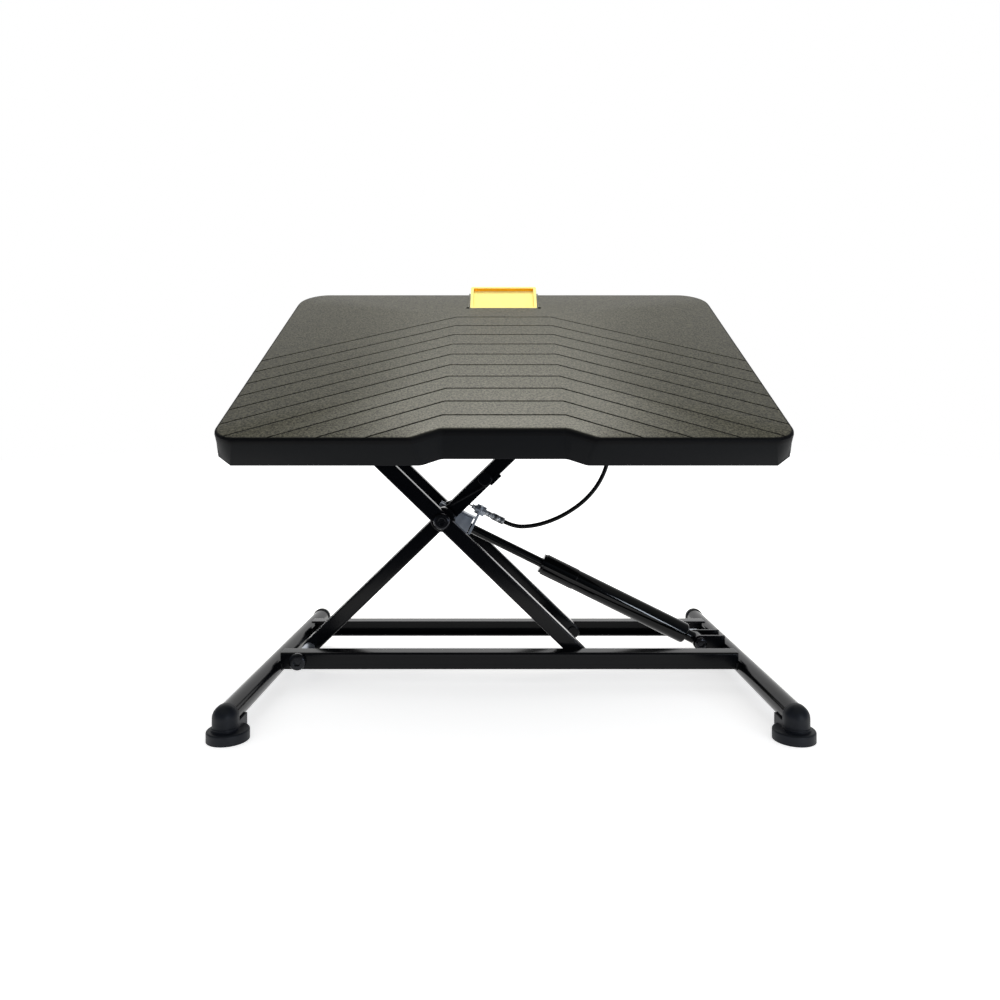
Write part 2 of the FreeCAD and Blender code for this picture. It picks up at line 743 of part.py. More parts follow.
# Cable bracket: steel angle on the head. Its ear holds the adjuster between two jam nuts
ear_front = release_head_length + ear_gap
foot_z = release_head_height / 2
ear_top = cable_offset + jam_nut_across_flats / 2
cable_bracket = join([block(ear_front, ear_front + ear_thick, -ear_width / 2, ear_width / 2, foot_z, ear_top),
                      block(ear_foot_start, ear_front + ear_thick, -ear_width / 2, ear_width / 2, foot_z,
                            foot_z + ear_thick / 2)])
cable_bracket = cable_bracket.fuse(block(ear_front, ear_front + ear_thick, -ear_width / 2, ear_width / 2,
                                         -foot_z / 2, foot_z)).removeSplitter()
cable_bracket = cable_bracket.cut(round_x(rod_d + 4 * side_gap, 0, 0, ear_front - over,
                                          ear_front + ear_thick + over))
cable_bracket = cable_bracket.cut(round_x(adjuster_d + 2 * fit, 0, cable_offset, ear_front - over,
                                          ear_front + ear_thick + over))
keep("cable_bracket", along_gas(cable_bracket))


def hex_nut_x(across_flats, bore_d, z, x0, x1):
    nut = hexagon_y(across_flats, 0, 0, x0, x1)
    nut.rotate(V(0, 0, 0), V(0, 0, 1), -90)
    nut.translate(V(0, 0, z))
    return nut.cut(round_x(bore_d, 0, z, x0 - over, x1 + over))


ear_back = ear_front + ear_thick
keep("jam_nuts", along_gas(Part.makeCompound([
    hex_nut_x(jam_nut_across_flats, adjuster_d + 2 * fit, cable_offset,
              ear_front - jam_nut_height, ear_front),
    hex_nut_x(jam_nut_across_flats, adjuster_d + 2 * fit, cable_offset, ear_back,
              ear_back + jam_nut_height)])))
adjuster_front = ear_front - jam_nut_height - over
adjuster = join([round_x(adjuster_d, 0, cable_offset, adjuster_front, adjuster_end),
                 round_x(adjuster_tip_d, 0, cable_offset,
                         adjuster_front - adjuster_tip_length, adjuster_front)])
adjuster = adjuster.cut(round_x(adjuster_bore_d, 0, cable_offset, adjuster_front - adjuster_tip_length - over,
                                adjuster_end + over))
keep("cable_adjuster", along_gas(adjuster))
ferrule_end = adjuster_end + ferrule_length
ferrule = round_x(ferrule_d, 0, cable_offset, adjuster_end, ferrule_end)
ferrule = ferrule.cut(round_x(adjuster_bore_d, 0, cable_offset, adjuster_end - over, ferrule_end + over))
ferrule = soften(ferrule, side_gap, [("X", adjuster_end), ("X", ferrule_end)])
keep("cable_ferrule", along_gas(ferrule))
wire = join([round_x(wire_d, 0, cable_offset, lever_wire_s, adjuster_end),
             round_y(nipple_d, lever_wire_s, cable_offset, -lever_thick / 2, lever_thick / 2)])
keep("inner_wire_lower", along_gas(wire))


# Cable: one outer sheath from the release head, down in a loop and up behind the tread
def gas_point(along, above):
    angle = math.radians(gas_angle)
    return V(cross_x + along * math.cos(angle) + above * math.sin(angle), middle_y,
             cross_z - along * math.sin(angle) + above * math.cos(angle))


def tilted(point):
    """Where a point of the flat tread goes once it is tilted."""
    angle = math.radians(tilt_angle)
    y = point.y - hinge_y
    z = point.z - hinge_z
    return V(point.x, hinge_y + y * math.cos(angle) - z * math.sin(angle),
             hinge_z + y * math.sin(angle) + z * math.cos(angle))


def tread_point(u, v, w):
    return V(tread_x + u, tread_front_y + v, tread_top_z + w)


cable_start = gas_point(ferrule_end, cable_offset)
notch_front = tread_depth - notch_depth
bracket_front_v = notch_front - bracket_setback
cable_stop_v = bracket_front_v - bracket_thick
cable_end = tilted(tread_point(crank_u, cable_stop_v, -cable_drop))
cable_last = tilted(tread_point(crank_u, cable_stop_v - cable_straight, -cable_drop))
cable_route = [cable_start, gas_point(ferrule_end + cable_lead, cable_offset),
               V(20.5, 30.0, 147.7), V(38.5, 30.0, 151.4), V(60.0, 30.0, 160.4),
               V(83.0, 30.0, 176.6), V(100.0, 30.0, 199.0), V(109.0, 30.5, 228.0),
               V(clip_x, clip_y, 266.0), V(clip_x, clip_y, 314.0), V(88.0, 33.0, 334.0),
               V(56.0, 31.5, 339.5), V(26.8, 32.8, 341.6), V(11.8, 39.7, 345.5), cable_last,
               cable_end]


def corner_tube(points, diameter):
    """Round tube on straight runs joined by tangent arcs. Prints each arc's radius."""
    edges = []
    here = points[0]
    for before, corner, after in zip(points, points[1:], points[2:]):
        run_in = corner.sub(before)
        run_out = after.sub(corner)
        turn = run_in.getAngle(run_out)
        reach = cable_corner_share * min(run_in.Length, run_out.Length)
        radius = reach / math.tan(turn / 2)
        print("corner radius", round(radius, 1), "turn", round(math.degrees(turn), 1),
              "run", round(run_in.Length, 1))
        start = corner.sub(V(run_in).normalize().multiply(reach))
        finish = corner.add(V(run_out).normalize().multiply(reach))
        inward = start.add(finish).multiply(1 / 2).sub(corner)
        depth = radius / math.cos(turn / 2) - radius
        middle = corner.add(inward.normalize().multiply(depth))
        edges.append(Part.LineSegment(here, start).toShape())
        edges.append(Part.Arc(start, middle, finish).toShape())
        here = finish
    edges.append(Part.LineSegment(here, points[-1]).toShape())
    path = Part.Wire(edges)
    circle = Part.Wire(Part.makeCircle(diameter / 2, points[0], points[1].sub(points[0])))
    tube = path.makePipeShell([circle], True, False)
    print("tube volume", round(tube.Volume), "section times length",
          round(math.pi * (diameter / 2) ** 2 * path.Length), "length", round(path.Length, 1))
    return tube




# Tread: hollow moulded shell, drawn flat and then tilted about its hinge
def tilt(shape):
    shape.rotate(V(0, hinge_y, hinge_z), V(1, 0, 0), tilt_angle)
    return shape


def tread_block(u0, u1, v0, v1, w0, w1):
    low = tread_point(u0, v0, w0)
    high = tread_point(u1, v1, w1)
    return block(low.x, high.x, low.y, high.y, low.z, high.z)


def tread_corners(depth, facet, spread):
    """Corner points of the tread's outline as (u, v, radius), counter-clockwise. Its front
    corners are cut by facet, its recess is depth deep, and spread moves all edges out."""
    half = tread_width / 2
    middle = middle_width / 2
    mouth = middle + depth / chevron_slope
    corners = [(-half + facet, 0, 0), (-mouth, 0, recess_corner_radius),
               (-middle, depth, recess_corner_radius), (middle, depth, recess_corner_radius),
               (mouth, 0, recess_corner_radius), (half - facet, 0, 0), (half, facet, 0),
               (half, tread_depth, rear_corner_radius), (-half, tread_depth, rear_corner_radius),
               (-half, facet, 0)]
    return spread_corners(corners, spread)


def spread_corners(corners, spread):
    """Move every side of a counter-clockwise outline outwards by spread."""
    moved = []
    count = len(corners)
    for k in range(count):
        before = corners[k - 1]
        here = corners[k]
        after = corners[(k + 1) % count]
        ax = here[0] - before[0]
        ay = here[1] - before[1]
        bx = after[0] - here[0]
        by = after[1] - here[1]
        a_length = math.hypot(ax, ay)
        b_length = math.hypot(bx, by)
        normal_a = (ay / a_length, -ax / a_length)
        normal_b = (by / b_length, -bx / b_length)
        scale = 1 + normal_a[0] * normal_b[0] + normal_a[1] * normal_b[1]
        turn_left = ax * by - ay * bx > 0
        radius = here[2]
        if radius > 0:
            radius = radius + spread if turn_left else radius - spread
        moved.append((here[0] + spread * (normal_a[0] + normal_b[0]) / scale,
                      here[1] + spread * (normal_a[1] + normal_b[1]) / scale, radius))
    return moved


def is_front_facet(start, finish):
    """True for the side that cuts off one of the tread's two front corners."""
    run = finish.sub(start)
    return abs(run.x) > fit and abs(run.y) > fit and abs(abs(run.x) - abs(run.y)) < fit


def outline(corners, w, bulge):
    """Closed wire through the corners at height w. Each corner is rounded by its own radius,
    and the front facets are bowed out by bulge."""
    pieces = []
    count = len(corners)
    for k in range(count):
        before = tread_point(corners[k - 1][0], corners[k - 1][1], w)
        here = tread_point(corners[k][0], corners[k][1], w)
        after = tread_point(corners[(k + 1) % count][0], corners[(k + 1) % count][1], w)
        radius = corners[k][2]
        if radius == 0:
            pieces.append((here, None, here))
            continue
        into = here.sub(before).normalize()
        out = after.sub(here).normalize()
        turn = into.getAngle(out)
        reach = radius * math.tan(turn / 2)
        start = here.sub(V(into).multiply(reach))
        finish = here.add(V(out).multiply(reach))
        inward = start.add(finish).multiply(1 / 2).sub(here).normalize()
        middle = here.add(inward.multiply(radius / math.cos(turn / 2) - radius))
        pieces.append((start, middle, finish))
    edges = []
    for k in range(count):
        start, middle, finish = pieces[k]
        following = pieces[(k + 1) % count][0]
        if middle is not None:
            edges.append(Part.Arc(start, middle, finish).toShape())
        if bulge > 0 and is_front_facet(finish, following):
            run = following.sub(finish).normalize()
            crown = finish.add(following).multiply(1 / 2).add(V(run.y, -run.x, 0).multiply(bulge))
            edges.append(Part.Arc(finish, crown, following).toShape())
        else:
            edges.append(Part.LineSegment(finish, following).toShape())
    return Part.Wire(edges)


# The front corners are round at the top, and open out to one flat facet below
front_corner_bulge = front_corner_radius * (1 - math.cos(math.pi / 4))


def tread_section(share, inset, w):
    """One level of the tread's outer form. share is 0 at its top and 1 at its lower rim."""
    depth = recess_depth + share * (recess_depth_below - recess_depth)
    facet = front_corner_radius + share * (front_corner_facet - front_corner_radius)
    return outline(tread_corners(depth, facet, -inset - share * tread_taper), w,
                   front_corner_bulge * (1 - share))


def tread_outside():
    sections = []
    for step in range(tread_round_steps + 1):
        angle = math.pi / 2 * step / tread_round_steps
        inset = tread_edge_round * (1 - math.sin(angle))
        drop = tread_edge_round * (1 - math.cos(angle))
        sections.append(tread_section(drop / tread_height, inset, -drop))
    sections.append(tread_section(1, 0, -tread_height))
    return Part.makeLoft(sections, True, True)


def chevron(setback):
    """V-shaped groove cutter: straight in the middle, sloping forward to both sides."""
    half = middle_width / 2
    reach = tread_width / 2 + recess_depth
    fall = (reach - half) * chevron_slope
    path = [(-reach, setback - fall), (-half, setback), (half, setback), (reach, setback - fall)]
    slope_length = math.hypot(1, chevron_slope)
    mitre = (slope_length - 1) / chevron_slope
    widths = [(0, slope_length), (-mitre, 1), (mitre, 1), (0, slope_length)]
    rise = groove_depth * over / groove_width * 2
    half_width = groove_width / 2 + over
    wires = []
    for (u, v), (lean, width) in zip(path, widths):
        shift = half_width * lean
        corners = [tread_point(u - shift, v - half_width * width, rise),
                   tread_point(u + shift, v + half_width * width, rise),
                   tread_point(u, v, -groove_depth)]
        wires.append(Part.makePolygon(corners + corners[:1]))
    return Part.makeLoft(wires, True, True)


def tread():
    shell = tread_outside()
    below = tread_corners(recess_depth, front_corner_facet, -tread_skirt - tread_taper)
    cavity_floor = Part.Face(outline(below, -tread_height - over, 0))
    cavity = cavity_floor.extrude(V(0, 0, tread_height + over - tread_plate))
    ribs = []
    for share in rib_long_shares:
        u = share * tread_width / 2
        ribs.append(tread_block(u - rib_thick / 2, u + rib_thick / 2, recess_depth, tread_depth,
                                -tread_plate - rib_depth, -tread_plate))
    for share in rib_cross_shares:
        v = share * tread_depth
        ribs.append(tread_block(-tread_width / 2, tread_width / 2, v - rib_thick / 2, v + rib_thick / 2,
                                -tread_plate - rib_depth, -tread_plate))
    for rib in ribs:
        cavity = cavity.cut(rib)
    shell = shell.cut(cavity)
    half = notch_width / 2
    shell = shell.cut(tread_block(-half, half, notch_front, tread_depth + over, -tread_height - over, over))
    for side in (-1, 1):
        corner = tread_point(side * half, notch_front, -tread_height)
        shell = shell.cut(round_z(notch_relief_d, corner.x, corner.y, corner.z, tread_top_z + over))
    for k in range(1, groove_count + 1):
        shell = shell.cut(chevron(recess_depth + k * groove_pitch))
    return shell


keep("tread", tilt(tread()))


# Tilt hinges: ears on the front rail, a leaf under the tread, and a tightened pin in each
hinge_places = [share * tread_width / 2 for share in hinge_x_shares]
rail_top = rail_bottom + channel_height
ear_inner = hinge_leaf_width / 2 + hinge_washer_thick


def hinge_ears(u):
    ears = []
    for side in (-1, 1):
        inner = tread_x + u + side * ear_inner
        outer = inner + side * hinge_ear_thick
        x0 = min(inner, outer)
        x1 = max(inner, outer)
        ear = join([round_x(hinge_ear_d, hinge_y, hinge_z, x0, x1),
                    block(x0, x1, hinge_y - hinge_ear_d / 2, hinge_y + hinge_ear_d / 2, rail_top, hinge_z)])
        ear = ear.cut(block(x0 - over, x1 + over, hinge_y - hinge_ear_d, hinge_y + hinge_ear_d, rail_bottom,
                            rail_top))
        ears.append(ear.cut(round_x(hinge_pin_d + 2 * fit, hinge_y, hinge_z, x0 - over, x1 + over)))
    return ears


ears = hinge_ears(hinge_places[0]) + hinge_ears(hinge_places[1])
keep("hinge_ears", Part.makeCompound(ears))


def leaf_screw_places(u):
    """Centres of a leaf's two screws, behind the pin."""
    v = hinge_setback + hinge_leaf_back - screw_head_d
    return [(u + side * hinge_leaf_width / 4, v) for side in (-1, 1)]


def hinge_leaf(u):
    half = hinge_leaf_width / 2
    top = -tread_plate
    knuckle_r = hinge_knuckle_d / 2
    leaf = tread_block(u - half, u + half, hinge_setback - hinge_leaf_front, hinge_setback + hinge_leaf_back,
                       top - hinge_leaf_thick, top)
    root = tread_block(u - half, u + half, hinge_setback - knuckle_r, hinge_setback + knuckle_r, -hinge_drop,
                       top)
    knuckle = round_x(hinge_knuckle_d, hinge_y, hinge_z, tread_x + u - half, tread_x + u + half)
    whole = join([leaf, root, knuckle])
    whole = whole.cut(round_x(hinge_pin_d + 2 * fit, hinge_y, hinge_z, tread_x + u - half - over,
                              tread_x + u + half + over))
    for screw_u, screw_v in leaf_screw_places(u):
        hole = tread_point(screw_u, screw_v, top)
        whole = whole.cut(round_z(screw_d + 2 * fit, hole.x, hole.y, hole.z - hinge_leaf_thick - over,
                                  hole.z + over))
    return whole


def under_screw(u, v, seat_w):
    """Pan-head screw driven up into the tread, its head's seat at seat_w."""
    place = tread_point(u, v, seat_w)
    head = round_z(screw_head_d, place.x, place.y, place.z - screw_head_height, place.z)
    head = soften(head, screw_head_height / 2, [("Z", place.z - screw_head_height)])
    return join([head, round_z(screw_d, place.x, place.y, place.z, tread_top_z - tread_plate)])


keep("hinge_leaves", Part.makeCompound([tilt(hinge_leaf(u)) for u in hinge_places]))
leaf_screws = [tilt(under_screw(u, v, -tread_plate - hinge_leaf_thick))
               for place in hinge_places for u, v in leaf_screw_places(place)]


def hinge_pin(u):
    reach = ear_inner + hinge_ear_thick
    left = tread_x + u - reach
    right = tread_x + u + reach
    return join([round_x(hinge_pin_d, hinge_y, hinge_z, left, right),
                 round_x(hinge_rivet_d, hinge_y, hinge_z, left - hinge_rivet_thick, left),
                 round_x(hinge_rivet_d, hinge_y, hinge_z, right, right + hinge_rivet_thick)])


keep("hinge_pins", Part.makeCompound([hinge_pin(u) for u in hinge_places]))


def friction_washers(u):
    rings = []
    for side in (-1, 1):
        inner = tread_x + u + side * (hinge_leaf_width / 2 + side_gap / 3)
        outer = tread_x + u + side * ear_inner
        ring = round_x(hinge_knuckle_d, hinge_y, hinge_z, min(inner, outer), max(inner, outer))
        rings.append(ring.cut(round_x(hinge_pin_d + 2 * fit, hinge_y, hinge_z, min(inner, outer) - over,
                                      max(inner, outer) + over)))
    return rings


keep("friction_washers", Part.makeCompound(friction_washers(hinge_places[0])
                                           + friction_washers(hinge_places[1])))

# Straps: two flat steel bars across the top rails
strap_top = rail_top + strap_thick
clip_plug_x = strap_right_x + clip_tongue_length / 2


def strap(x):
    return block(x, x + strap_width, front_beam_y + channel_depth, channels_back, rail_top, strap_top)


right_strap = strap(strap_right_x).cut(round_z(clip_plug_d + 2 * fit, clip_plug_x, clip_y, rail_top - over,
                                               strap_top + over))
keep("top_straps", Part.makeCompound([strap(-beam_x + strap_left_inset), right_strap]))

# Cable clip: moulded eye on a tongue under the right strap, its plug pushed up through the strap
clip_d = clip_bore_d + 2 * clip_wall
tongue_bottom = rail_top - clip_tongue_thick
clip_eye = round_z(clip_d, clip_x, clip_y, rail_top - clip_height, rail_top)
tongue = block(clip_x, strap_right_x + clip_tongue_length, clip_y - clip_d / 2, clip_y + clip_d / 2,
               tongue_bottom, rail_top)
plug = round_z(clip_plug_d, clip_plug_x, clip_y, tongue_bottom, strap_top)
clip = join([clip_eye, tongue, plug])
keep("cable_clip", clip.cut(round_z(clip_bore_d, clip_x, clip_y, rail_top - clip_height - over,
                                    rail_top + over)))


# Pedal side plates: thin steel angles that line the notch and carry the pedal's pin
pin_v = notch_front + pedal_pin_setback
pin_w = -pedal_pin_drop
plate_outer = notch_width / 2
plate_inner = plate_outer - plate_thick
plate_front = notch_front - plate_reach
flange_w = -tread_plate - plate_thick


def side_plate_screws(side):
    u = side * (plate_outer + plate_flange / 2)
    return [(u, plate_front + screw_head_d), (u, tread_depth - tread_skirt - tread_taper - screw_head_d)]


def side_plate(side):
    upright = tread_block(plate_inner, plate_outer - side_gap / 3, notch_front + side_gap,
                          tread_depth - tread_taper, -plate_depth, plate_proud)
    forward = tread_block(plate_inner, plate_outer, plate_front, notch_front + side_gap,
                          -plate_depth, -tread_plate)
    flange = tread_block(plate_inner, plate_outer + plate_flange, plate_front,
                         tread_depth - tread_skirt - 2 * tread_taper, flange_w, -tread_plate)
    whole = join([upright, forward, flange])
    pin = tread_point(0, pin_v, pin_w)
    whole = whole.cut(round_x(pedal_pin_d + 2 * fit, pin.y, pin.z, pin.x, pin.x + notch_width))
    for screw_u, screw_v in side_plate_screws(1):
        hole = tread_point(screw_u, screw_v, flange_w)
        whole = whole.cut(round_z(screw_d + 2 * fit, hole.x, hole.y,
                                  hole.z - over, hole.z + plate_thick + over))
    if side < 0:
        whole = whole.mirror(V(tread_x, 0, 0), V(1, 0, 0))
    return whole


keep("pedal_side_plate_left", tilt(side_plate(-1)))
keep("pedal_side_plate_right", tilt(side_plate(1)))
plate_screws = [tilt(under_screw(u, v, flange_w)) for side in (-1, 1) for u, v in side_plate_screws(side)]
pin_place = tread_point(0, pin_v, pin_w)
pin_half = plate_outer + plate_thick
pedal_pin = join([round_x(pedal_pin_d, pin_place.y, pin_place.z, tread_x - pin_half, tread_x + pin_half),
                  round_x(pedal_pin_head_d, pin_place.y, pin_place.z, tread_x + plate_outer,
                          tread_x + pin_half)])
keep("pedal_pin", tilt(pedal_pin))


# Pedal: moulded tray with a raised rim, hinged near its front edge
def raise_pedal(shape):
    shape.rotate(V(0, pin_place.y, pin_place.z), V(1, 0, 0), pedal_raise)
    return shape


pedal_front = notch_front + pedal_front_gap


def pedal():
    half = pedal_width / 2
    back = pedal_front + pedal_length
    tray = tread_block(-half, half, pedal_front, back, -pedal_thick, 0)
    upright = [edge for edge in tray.Edges if edge.BoundBox.ZLength > pedal_thick / 2]
    tray = tray.makeFillet(pedal_corner_radius, upright)
    hollow = tread_block(-half + pedal_rim, half - pedal_rim, pedal_front + pedal_rim, back - pedal_rim,
                         -pedal_recess, over)
    tray = tray.cut(hollow)
    tray = soften(tray, side_gap, [("Z", tread_top_z)])
    boss = round_x(pedal_boss_d, pin_place.y, pin_place.z, tread_x - half + over, tread_x + half - over)
    tray = tray.fuse(boss)
    for u in (-half + pedal_rim, -pedal_rim, half - pedal_rim):
        rib = tread_block(u - pedal_rib_thick / 2, u + pedal_rib_thick / 2, pin_v, back - pedal_rim,
                          -pedal_thick - pedal_rib_depth, -pedal_thick)
        tray = tray.fuse(rib)
    tray = tray.cut(round_x(pedal_pin_d + 2 * fit, pin_place.y, pin_place.z, tread_x - half - over,
                            tread_x + half + over))
    return tray.removeSplitter()


keep("pedal", tilt(raise_pedal(pedal())))

# Crank bracket: steel channel under the tread with the crank's pivot holes and the cable stop
ear_u0 = crank_u - bracket_ear_gap / 2 - bracket_thick
ear_u1 = crank_u + bracket_ear_gap / 2
crank_v = pin_v + crank_setback
crank_w = -crank_pivot_drop
crank_place = tread_point(crank_u, crank_v, crank_w)
crank_arm = -crank_w - cable_drop
wire_travel = 2 * crank_arm * math.tan(math.radians(crank_swing / 2))
crank_head_v = crank_v - wire_travel / 2


def crank_bracket():
    top = -tread_plate
    half = bracket_width / 2
    parts = [tread_block(crank_u - half, crank_u + half, bracket_front_v - bracket_thick,
                         notch_front - side_gap, top - bracket_thick, top),
             tread_block(crank_u - half, crank_u + half, bracket_front_v - bracket_thick, bracket_front_v,
                         -cable_drop - cable_d, top)]
    for u0 in (ear_u0, ear_u1):
        u1 = u0 + bracket_thick
        parts.append(tread_block(u0, u1, notch_front - bracket_root, notch_front - side_gap,
                                 crank_w - bracket_ear_d / 2, top))
        parts.append(tread_block(u0, u1, notch_front - bracket_root, crank_v, crank_w - bracket_ear_d / 2,
                                 crank_w + bracket_ear_d / 2))
        parts.append(round_x(bracket_ear_d, crank_place.y, crank_place.z, tread_x + u0, tread_x + u1))
    whole = join(parts)
    whole = whole.cut(round_x(crank_pin_d + 2 * fit, crank_place.y, crank_place.z,
                              crank_place.x - bracket_width, crank_place.x + bracket_width))
    stop = tread_point(crank_u, bracket_front_v, -cable_drop)
    whole = whole.cut(round_y(wire_way, stop.x, stop.z, stop.y - bracket_thick - over, stop.y + over))
    for screw_u, screw_v in bracket_screw_places():
        hole = tread_point(screw_u, screw_v, top)
        whole = whole.cut(round_z(screw_d + 2 * fit, hole.x, hole.y, hole.z - bracket_thick - over,
                                  hole.z + over))
    return whole


def bracket_screw_places():
    v = bracket_front_v + screw_head_d
    return [(crank_u + side * (bracket_width / 2 - screw_head_d / 2), v) for side in (-1, 1)]


keep("crank_bracket", tilt(crank_bracket()))
bracket_screws = [tilt(under_screw(u, v, -tread_plate - bracket_thick)) for u, v in bracket_screw_places()]
keep("tread_screws", Part.makeCompound(leaf_screws + plate_screws + bracket_screws))

# Crank: flat steel lever with its own pivot pin. Its nose is under the pedal, its head on the wire
pedal_lean = math.radians(pedal_raise)
nose_w = (pin_w + crank_nose_setback * math.tan(pedal_lean)
          + (pedal_pin_drop - pedal_thick - crank_width / 2 - crank_nose_gap) / math.cos(pedal_lean))


def crank():
    head = tread_point(crank_u, crank_head_v, -cable_drop)
    elbow = tread_point(crank_u, crank_v + crank_elbow_setback, crank_w + crank_elbow_rise)
    nose = tread_point(crank_u, pin_v + crank_nose_setback, nose_w)
    x0 = crank_place.x - crank_thick / 2
    x1 = crank_place.x + crank_thick / 2
    head_x = crank_place.x - crank_head_width / 2
    pieces = [round_x(crank_head_d, head.y, head.z, head_x, head_x + crank_head_width)]
    for start, end in ((head, crank_place), (crank_place, elbow), (elbow, nose)):
        pieces.append(round_x(crank_width, end.y, end.z, x0, x1))
        length = math.hypot(end.y - start.y, end.z - start.z)
        bar = block(x0, x1, 0, length, -crank_width / 2, crank_width / 2)
        bar.rotate(V(0, 0, 0), V(1, 0, 0), math.degrees(math.atan2(end.z - start.z, end.y - start.y)))
        bar.translate(V(0, start.y, start.z))
        pieces.append(bar)
    pieces.append(round_x(crank_pin_d, crank_place.y, crank_place.z, tread_x + ear_u0,
                          tread_x + ear_u1 + bracket_thick))
    hole = round_y(crank_hole_d, 0, 0, -crank_head_d, crank_head_d)
    hole.rotate(V(0, 0, 0), V(1, 0, 0), crank_swing / 2)
    hole.translate(head)
    return join(pieces).cut(hole)


keep("cable_crank", tilt(crank()))

# Cable's sheath, open at its upper end for the length of wire that the crank pulls out
wire_start = tread_point(crank_u, cable_stop_v, -cable_drop)
sheath_mouth = tilt(round_y(wire_d + 2 * side_gap, wire_start.x, wire_start.z,
                            wire_start.y - wire_travel - over, wire_start.y + over))
keep("release_cable", corner_tube(cable_route, cable_d).cut(sheath_mouth))
button_y = tread_front_y + crank_head_v + crank_head_d / 2 + side_gap
keep("inner_wire_upper", tilt(join([
    round_y(wire_d, wire_start.x, wire_start.z, wire_start.y - wire_travel, button_y),
    round_y(wire_button_d, wire_start.x, wire_start.z, button_y, button_y + wire_button_length)])))
print("sub-parts", len(made))
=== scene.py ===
import math

import bpy
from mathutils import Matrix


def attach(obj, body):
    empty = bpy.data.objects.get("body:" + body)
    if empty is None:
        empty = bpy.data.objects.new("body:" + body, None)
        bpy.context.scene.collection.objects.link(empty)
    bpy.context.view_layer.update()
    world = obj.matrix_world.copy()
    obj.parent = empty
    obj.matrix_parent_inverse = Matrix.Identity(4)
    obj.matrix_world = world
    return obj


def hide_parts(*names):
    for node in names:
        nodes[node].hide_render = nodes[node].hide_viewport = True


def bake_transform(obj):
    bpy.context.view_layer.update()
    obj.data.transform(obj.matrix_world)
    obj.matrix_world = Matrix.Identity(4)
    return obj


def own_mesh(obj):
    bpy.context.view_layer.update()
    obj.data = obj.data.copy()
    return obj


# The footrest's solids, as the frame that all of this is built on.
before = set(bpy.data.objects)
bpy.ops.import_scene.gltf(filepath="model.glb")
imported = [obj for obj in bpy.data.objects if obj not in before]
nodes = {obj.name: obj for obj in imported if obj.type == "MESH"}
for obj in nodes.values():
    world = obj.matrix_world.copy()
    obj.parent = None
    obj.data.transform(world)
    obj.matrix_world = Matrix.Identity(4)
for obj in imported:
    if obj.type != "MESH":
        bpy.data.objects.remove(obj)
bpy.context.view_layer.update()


# Photographer's view: level camera at the height of the scissor's upper half, a short lens
# close in front. The frame is shifted so that the tread sits above the picture's middle.
camera_lens = 27.72
camera_sensor = 36.0
camera_nearest = 0.01
camera_place = (-0.0073, -0.793, 0.251)
camera_shift = (-0.002, -0.07)
level = math.radians(90)

camera_data = bpy.data.cameras.new("camera")
camera_data.lens = camera_lens
camera_data.sensor_width = camera_sensor
camera_data.shift_x, camera_data.shift_y = camera_shift
camera_data.clip_start = camera_nearest
camera = bpy.data.objects.new("camera", camera_data)
camera.location = camera_place
camera.rotation_euler = (level, 0, 0)
bpy.context.scene.collection.objects.link(camera)
bpy.context.scene.camera = camera
bpy.context.scene.view_settings.view_transform = "Standard"


# Release cable: a Bowden cable with a smooth black PVC sheath, stiff enough to keep its loop.
# The lower run hangs from the clip to the ferrule, and the upper run goes from the clip to the stop at the
# crank.
def linear(hex_colour):
    """An sRGB hex colour as linear RGBA."""
    shares = [int(hex_colour[k:k + 2], 16) / 255 for k in (1, 3, 5)]
    return [s / 12.92 if s <= 0.04045 else ((s + 0.055) / 1.055) ** 2.4 for s in shares] + [1.0]


def add(material, kind, inputs, **settings):
    """Add a node to a material or world. Each input is a value, or another node's output."""
    made = material.node_tree.nodes.new(kind)
    for name, value in settings.items():
        setattr(made, name, value)
    for name, value in inputs.items():
        if isinstance(value, bpy.types.NodeSocket):
            material.node_tree.links.new(value, made.inputs[name])
        else:
            made.inputs[name].default_value = value
    return made


def new_material(name):
    """An empty material, and where its object's own coordinates come out."""
    material = bpy.data.materials.new(name)
    material.use_nodes = True
    material.node_tree.nodes.clear()
    return material, add(material, "ShaderNodeTexCoord", {}).outputs["Object"]


def noise(material, place, size, detail, fineness=0.5):
    """Clouds from 0 to 1 with features of the given size."""
    return add(material, "ShaderNodeTexNoise", {"Vector": place, "Scale": 1 / size, "Detail": detail,
                                                "Roughness": fineness}).outputs["Fac"]


def ramp(material, driver, start=0.0, full=1.0, low=0.0, high=1.0):
    """A value that runs from low to high while its driver goes from start to full."""
    return add(material, "ShaderNodeMapRange", {"Value": driver, "From Min": start, "From Max": full,
                                                "To Min": low, "To Max": high}).outputs["Result"]


def two_tone(material, share, first, second):
    """A colour that turns from first to second. Each is a hex colour or another node's output."""
    first, second = (linear(tone) if isinstance(tone, str) else tone for tone in (first, second))
    return add(material, "ShaderNodeMix", {"Factor": share, "A": first, "B": second},
               data_type="RGBA").outputs["Result"]


def eased(material, radius, samples=6):
    """The way a surface faces, with its edges rounded to a radius."""
    return add(material, "ShaderNodeBevel", {"Radius": radius}, samples=samples).outputs["Normal"]


def bumps(material, height, strength, depth, over=None):
    """The way a surface faces under bumps, on the plain surface or over another node's edges."""
    inputs = {"Height": height, "Strength": strength, "Distance": depth}
    if over is not None:
        inputs["Normal"] = over
    return add(material, "ShaderNodeBump", inputs).outputs["Normal"]


def reach(material, vector, direction):
    """How far a vector reaches in a direction."""
    return add(material, "ShaderNodeVectorMath", {0: vector, 1: direction},
               operation="DOT_PRODUCT").outputs["Value"]


def larger(material, first, second):
    """The larger of two values."""
    return add(material, "ShaderNodeMath", {0: first, 1: second}, operation="MAXIMUM").outputs["Value"]


